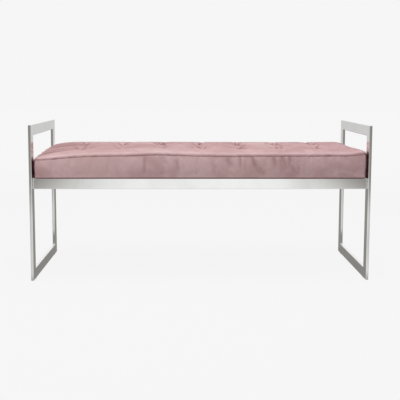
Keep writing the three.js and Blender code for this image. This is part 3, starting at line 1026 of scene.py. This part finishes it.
@dataclass
class EndFrame:
    """One closed end frame: four flat tubes mitred, welded and polished into one loop."""

    side: str
    depth: float = 0.450
    height: float = 0.552
    base: float = 0.0023
    width: float = 0.038
    thickness: float = 0.010
    edge: float = 0.0018
    middle: float = 0.595
    screw_y: float = 0.206
    screw_z: float = 0.3473
    head: float = 0.0063
    shank: float = 0.0033
    rim: float = 0.0005
    clear: float = 0.0007
    through: float = 1.5

    def build(self) -> Piece:
        """Makes the loop from a block: its window is bridged through, its edges rounded, its holes cut.

        Returns:
            The loop.
        """
        sign = -1 if self.side == "left" else 1
        deselect()
        centre = (sign * self.middle, 0, self.base + self.height / 2)
        sizes = (self.thickness, self.depth, self.height)
        bpy.ops.mesh.primitive_cube_add(size=1, location=centre, scale=sizes)
        loop = bpy.context.object
        loop.name = f"{self.side}_end_frame"
        settle(loop)
        bpy.ops.object.mode_set(mode="EDIT")
        bpy.ops.mesh.select_mode(type="FACE")
        bpy.ops.mesh.select_all(action="DESELECT")
        bpy.ops.object.mode_set(mode="OBJECT")
        for face in loop.data.polygons:
            face.select = abs(face.normal.x) > 0.5
        bpy.ops.object.mode_set(mode="EDIT")
        bpy.ops.mesh.inset(thickness=self.width, use_even_offset=True)
        bpy.ops.mesh.bridge_edge_loops()
        bpy.ops.mesh.select_all(action="SELECT")
        bpy.ops.mesh.normals_make_consistent(inside=False)
        bpy.ops.object.mode_set(mode="OBJECT")
        sharp = math.radians(40)
        modify(loop, "BEVEL", width=self.edge, segments=4, limit_method="ANGLE", angle_limit=sharp)
        for end in (-1, 1):
            self._bore(loop, sign, end)
        only(loop)
        bpy.ops.object.shade_smooth_by_angle(angle=math.radians(35))
        modify(loop, "WEIGHTED_NORMAL", mode="FACE_AREA", weight=100, keep_sharp=True)
        return loop

    def _bore(self, loop: Piece, sign: int, end: int) -> None:
        """Cuts one countersunk screw hole through a post.

        Args:
            loop: The end frame.
            sign: -1 on the left, 1 on the right.
            end: -1 at the front, 1 at the rear.
        """
        outer = sign * (self.middle + self.thickness / 2)
        turn = (0, sign * math.pi / 2, 0)
        cone = self.head - self.shank
        sizes = (
            (self.shank, self.shank, self.thickness * self.through, self.thickness / 2),
            (self.shank, self.head, cone, self.rim + cone / 2),
            (self.head, self.head, self.rim + self.clear, (self.rim - self.clear) / 2),
        )
        for low, high, depth, sunk in sizes:
            deselect()
            place = (outer - sign * sunk, end * self.screw_y, self.screw_z)
            bpy.ops.mesh.primitive_cone_add(
                vertices=48, radius1=low, radius2=high, depth=depth, location=place, rotation=turn
            )
            cutter = bpy.context.object
            settle(cutter)
            modify(loop, "BOOLEAN", operation="DIFFERENCE", solver="EXACT", object=cutter)
            only(cutter)
            bpy.ops.object.delete()

    def place(self) -> None:
        """Builds the loop, dresses it and sets it in the frame."""
        loop = self.build()
        STEEL.dress(loop)
        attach(loop, BODY)
        tubes = [f"{self.side}_{end}_post" for end in ENDS]
        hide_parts(*tubes, f"{self.side}_handle_rail", f"{self.side}_floor_rail")
        log.info("%s: %d faces", loop.name, len(loop.data.polygons))


@dataclass
class DustSheet:
    """The dust cloth stapled under the seat board, a little slack between the cross bars."""

    half_length: float = 0.5835
    half_depth: float = 0.206
    top: float = 0.3676
    cloth: float = 0.0006
    sag: float = 0.0022
    end_fade: float = 0.08
    pucker: float = 0.0003
    pucker_waves: float = 210
    bar_pitch: float = 0.295
    columns: int = 120
    rows: int = 42

    def build(self) -> Piece:
        """Makes the sheet from a grid, sagged between the bars and given its thickness.

        Returns:
            The sheet.
        """
        deselect()
        bpy.ops.mesh.primitive_grid_add(
            x_subdivisions=self.columns, y_subdivisions=self.rows, size=2, location=(0, 0, self.top)
        )
        sheet = bpy.context.object
        sheet.name = "dust_sheet"
        sheet.scale = (self.half_length, self.half_depth, 1)
        settle(sheet)
        points = get_rows(sheet.data, "co")
        between = np.sin(points[:, 0] * math.pi / self.bar_pitch) ** 2
        inside = 1 - (points[:, 1] / self.half_depth) ** 2
        end = np.clip((self.half_length - np.abs(points[:, 0])) / self.end_fade, 0, 1)
        pucker = self.pucker * np.sin(points[:, 0] * self.pucker_waves) * (1 - inside)
        points[:, 2] -= self.sag * between * inside * end - pucker
        set_points(sheet.data, points)
        modify(sheet, "SOLIDIFY", thickness=self.cloth, offset=-1)
        only(sheet)
        bpy.ops.object.shade_smooth_by_angle(angle=math.radians(40))
        return sheet

    def place(self) -> None:
        """Builds the sheet, dresses it and sets it in the frame."""
        sheet = self.build()
        DUST.dress(sheet)
        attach(sheet, BODY)
        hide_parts("dust_cover")
        log.info("dust_sheet: %d faces", len(sheet.data.polygons))


@dataclass
class KeptSolids:
    """The solids that show as they were drawn, each with its finish."""

    tufts: int = 7
    bars: int = 3
    seat_screws: int = 6

    def place(self) -> None:
        """Dresses each solid."""
        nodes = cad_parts
        corners = [f"{side}_{end}" for side in SIDES for end in ENDS]
        rails = [f"{end}_seat_rail" for end in ENDS] + [f"{corner}_rail_plug" for corner in corners]
        rails += [f"cross_bar_{number + 1}" for number in range(self.bars)]
        fittings = [f"{corner}_{kind}" for corner in corners for kind in ("frame_screw", "spacer")]
        fittings += [f"seat_screw_{number + 1}" for number in range(self.seat_screws)]
        ties = [f"tuft_tie_{end}_{number + 1}" for end in ENDS for number in range(self.tufts)]
        glides = [f"{corner}_glide" for corner in corners]
        choices = ((STEEL, rails), (FITTINGS, fittings), (TWINE, ties), (NYLON, glides))
        for finish, names in (*choices, (PLYWOOD, ["seat_board"])):
            finish.dress(*(nodes[name] for name in names))
            log.info("%s on %d solids", finish.name, len(names))


SOFT_BOXES = (
    ("top_box", (0.1, -0.5, 2.6), (2.6, 1.6), 39),
    ("side_box", (-2.6, -2.6, 1.5), (1.0, 1.2), 28),
)


@dataclass
class Studio:
    """A pale floor, greyer in mirrors than to the eye, under a pale sky of soft light, and the camera."""

    paper: Colour = srgb(246, 246, 246)
    floor_paper: Colour = srgb(250, 250, 250)
    far_paper: Colour = srgb(253, 253, 253)
    grey: Colour = srgb(140, 138, 135)
    light: float = 0.30
    sky_grey: float = 0.85
    floor_size: float = 40.0
    floor_drop: float = 0.0003
    paper_share: float = 0.93
    middle: float = 0.06
    near_grey: float = 0.45
    beyond_grey: float = 0.38
    aim: Triple = (0, 0, 0.4)
    eye: Triple = (-0.05834, -2.647918, 0.682646)
    yaw_pitch_roll: Triple = (-1.295, -5.884, -0.179)

    def _seen(self, graph: Graph) -> Term:
        """1 where the eye, a mirror or glass looks at the background, else 0."""
        eye, mirror, glass = (graph.ray(f"Is {kind} Ray") for kind in ("Camera", "Glossy", "Transmission"))
        return eye.at_least(mirror).at_least(glass)

    def floor(self) -> None:
        """Lays the floor: white to the eye, with the bench's shadow, and grey stretches for mirrors."""
        deselect()
        bpy.ops.mesh.primitive_plane_add(size=self.floor_size, location=(0, 0, -self.floor_drop))
        ground = bpy.context.object
        ground.name = "studio_floor"
        made = bpy.data.materials.new("studio_floor")
        graph = Graph(made)
        across, along, _ = graph.axes("Object")
        aside = (across - self.middle) * (across - self.middle)
        front = (1 - along.eased(-1.2, 0.2)) * aside.eased(0.05, 1.7)
        near = along.eased(-2.2, -1.2) * aside.eased(0.1, 0.5) * self.near_grey
        back = along.eased(-0.45, -0.15) * (1 - along.eased(3.0, 6.0))
        beyond = along.eased(5.0, 7.0) * (1 - along.eased(14.0, 20.0)) * self.beyond_grey
        dim = graph.ray("Is Glossy Ray") * front.at_least(near).at_least(back).at_least(beyond)
        far = (across * across + along * along).eased(1, 16)
        colour = graph.blend(far, self.floor_paper, self.far_paper)
        colour = graph.blend(dim, colour, self.grey)
        paper = graph.add("ShaderNodeEmission", inputs={"Color": colour, "Strength": 1.0})
        matte = graph.add("ShaderNodeBsdfDiffuse", inputs={"Color": srgb(205, 205, 205)})
        share = self._seen(graph) * self.paper_share
        mix = graph.add("ShaderNodeMixShader", inputs={0: share, 1: matte.outputs[0], 2: paper.outputs[0]})
        graph.add("ShaderNodeOutputMaterial", inputs={"Surface": mix.outputs[0]})
        ground.data.materials.append(made)

    def sky(self) -> None:
        """Fills the world with soft light and the same white behind the bench."""
        world = bpy.data.worlds.new("studio")
        bpy.context.scene.world = world
        graph = Graph(world)
        _, along, up = graph.axes("Generated")
        low = (0 - along).eased(0.1, 0.9) * (1 - up.eased(0.05, 0.55))
        dim = graph.ray("Is Glossy Ray") * low * self.sky_grey
        colour = graph.blend(dim, self.paper, self.grey)
        white = graph.add("ShaderNodeBackground", inputs={"Color": colour, "Strength": 1.0})
        daylight = {"Color": srgb(255, 254, 252), "Strength": self.light}
        light = graph.add("ShaderNodeBackground", inputs=daylight)
        shaders = {0: self._seen(graph), 1: light.outputs[0], 2: white.outputs[0]}
        mix = graph.add("ShaderNodeMixShader", inputs=shaders)
        graph.add("ShaderNodeOutputWorld", inputs={"Surface": mix.outputs[0]})

    def lamps(self) -> None:
        """Hangs the soft boxes at their places, with their sizes and watts, pointed at the bench."""
        for name, place, size, power in SOFT_BOXES:
            data = bpy.data.lights.new(name, "AREA")
            data.shape = "RECTANGLE"
            data.size, data.size_y = size
            data.energy = power
            lamp = bpy.data.objects.new(name, data)
            bpy.context.scene.collection.objects.link(lamp)
            lamp.visible_glossy = False
            lamp.location = place
            lamp.rotation_euler = (Vector(self.aim) - Vector(place)).to_track_quat("-Z", "Y").to_euler()

    def camera(self) -> None:
        """Sets the camera where the photograph was taken from."""
        data = bpy.data.cameras.new("camera")
        data.lens, data.sensor_width, data.shift_y = 62.744, 36.0, -0.1
        eye = bpy.data.objects.new("camera", data)
        bpy.context.scene.collection.objects.link(eye)
        turns = zip(self.yaw_pitch_roll, "ZXY")
        yaw, pitch, roll = (Matrix.Rotation(math.radians(angle), 4, axis) for angle, axis in turns)
        upright = Matrix.Rotation(math.pi / 2, 4, "X")
        eye.matrix_world = Matrix.Translation(self.eye) @ (yaw @ pitch @ roll) @ upright
        bpy.context.scene.camera = eye

    def set_up(self) -> None:
        """Lays the floor, fills the sky, hangs the lamps and sets the camera."""
        self.floor()
        self.sky()
        self.lamps()
        self.camera()
        bpy.context.scene.view_settings.view_transform = "Standard"


def main() -> None:
    """Builds the bench's looks in order."""
    logging.basicConfig(level=logging.INFO, format="%(name)s: %(message)s")
    Studio().set_up()
    for side in SIDES:
        EndFrame(side).place()
    KeptSolids().place()
    DustSheet().place()
    Cushion().place()


if __name__ == "__main__":
    main()
